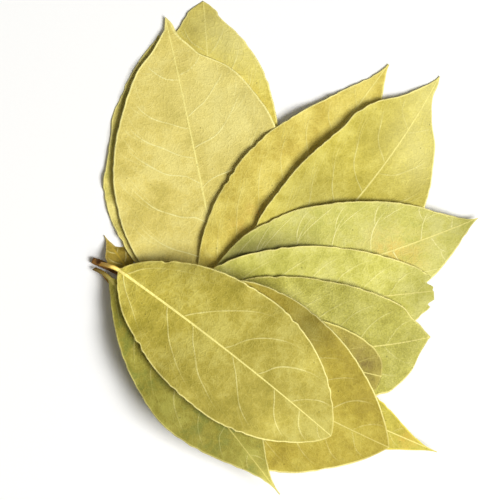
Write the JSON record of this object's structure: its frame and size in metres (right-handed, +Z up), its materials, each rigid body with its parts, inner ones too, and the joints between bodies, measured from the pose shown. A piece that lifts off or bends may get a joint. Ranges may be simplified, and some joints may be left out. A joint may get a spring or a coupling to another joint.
{
  "type": "bay leaf sprig",
  "caption": "Sprig of dried bay laurel lying flat: long pointed oval leaves with slender stalks, fanned and overlapping on a short woody twig.",
  "frame": {"origin": "centre of the sprig's outline seen from above, on the surface that it lies on", "axes": "+Z up from the table, +Y the way that the longest leaves point, +X to the right of it"},
  "size_m": [0.1198, 0.1524, 0.022],
  "materials": {
    "dried_leaf": "dry, leathery, yellow-olive, with a faint sheen and a paler midrib and veins",
    "bark": "smooth reddish-brown bark of a young shoot, dull",
    "bud_scales": "dry overlapping brown scales"
  },
  "bodies": {
    "root": {"twig": "bark", "terminal_bud": "bud_scales", "leaf_01": "dried_leaf", "leaf_02": "dried_leaf", "leaf_03": "dried_leaf", "leaf_04": "dried_leaf", "leaf_05": "dried_leaf", "leaf_06": "dried_leaf", "leaf_07": "dried_leaf", "leaf_08": "dried_leaf", "leaf_09": "dried_leaf", "leaf_10": "dried_leaf", "leaf_11": "dried_leaf", "leaf_12": "dried_leaf", "leaf_13": "dried_leaf", "leaf_14": "dried_leaf"}
  },
  "joints": []
}
